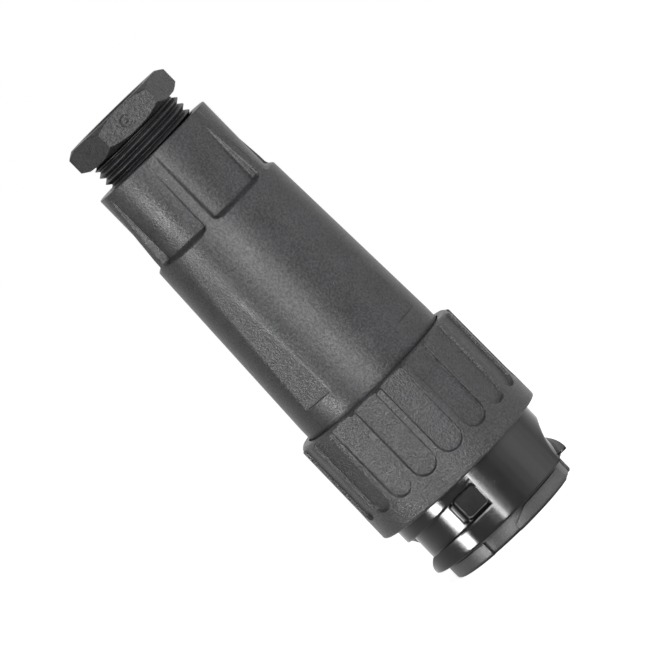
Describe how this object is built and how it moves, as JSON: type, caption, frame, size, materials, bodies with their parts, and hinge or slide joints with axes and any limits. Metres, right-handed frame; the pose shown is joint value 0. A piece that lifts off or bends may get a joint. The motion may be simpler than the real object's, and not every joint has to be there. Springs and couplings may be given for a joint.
{
  "type": "inline cable connector plug",
  "caption": "Round inline cable plug: tapered housing, fluted grip ring that turns a sleeve with bayonet tracks, and a hexagon gland screw that closes on the cable.",
  "frame": {"origin": "centre of the mating rim, at the bottom, where the plug stands on end", "axes": "+Z along the plug's axis towards the cable; +X to the right and -Y towards the viewer"},
  "size_m": [0.0346, 0.0346, 0.096],
  "materials": {
    "insert_moulding": "satin black",
    "sleeve_gloss": "gloss black",
    "ring_moulding": "fine-textured black",
    "spring_steel": "bright spring strip",
    "shell_moulding": "fine-textured black",
    "seal_rubber": "smooth",
    "bush_rubber": "smooth",
    "thrust_moulding": "plain moulded",
    "gland_moulding": "satin black",
    "contact_brass": "bright plated",
    "screw_steel": "zinc plated"
  },
  "bodies": {
    "housing": {"contact_carrier": "insert_moulding", "spring_washer": "spring_steel", "back_shell": "shell_moulding", "shell_seal": "seal_rubber", "mating_seal": "seal_rubber", "cable_seal": "bush_rubber", "earth_pin": "contact_brass", "earth_screw": "screw_steel", "contact_pin_1": "contact_brass", "contact_pin_2": "contact_brass", "contact_pin_3": "contact_brass", "contact_pin_4": "contact_brass", "contact_pin_5": "contact_brass", "contact_pin_6": "contact_brass", "terminal_screw_1": "screw_steel", "terminal_screw_2": "screw_steel", "terminal_screw_3": "screw_steel", "terminal_screw_4": "screw_steel", "terminal_screw_5": "screw_steel", "terminal_screw_6": "screw_steel"},
    "coupling": {"bayonet_sleeve": "sleeve_gloss", "grip_ring": "ring_moulding"},
    "gland_carriage": {"thrust_ring": "thrust_moulding"},
    "gland": {"gland_screw": "gland_moulding"}
  },
  "joints": [
    {"name": "coupling_turn", "type": "hinge", "parent": "housing", "child": "coupling", "pos_m": [0, 0, 0.0235], "axis": [0, 0, 1], "range_deg": [-96, 0]},
    {"name": "gland_advance", "type": "slide", "parent": "housing", "child": "gland_carriage", "axis": [0, 0, 1], "range_m": [-0.0044, 0]},
    {"name": "gland_turn", "type": "hinge", "parent": "gland_carriage", "child": "gland", "pos_m": [0, 0, 0.089], "axis": [0, 0, 1], "range_deg": [-1120, 0]}
  ],
  "couplings": [
    {"joint": "gland_advance", "follows": "gland_turn", "m_per_rad": 0.00022441}
  ]
}
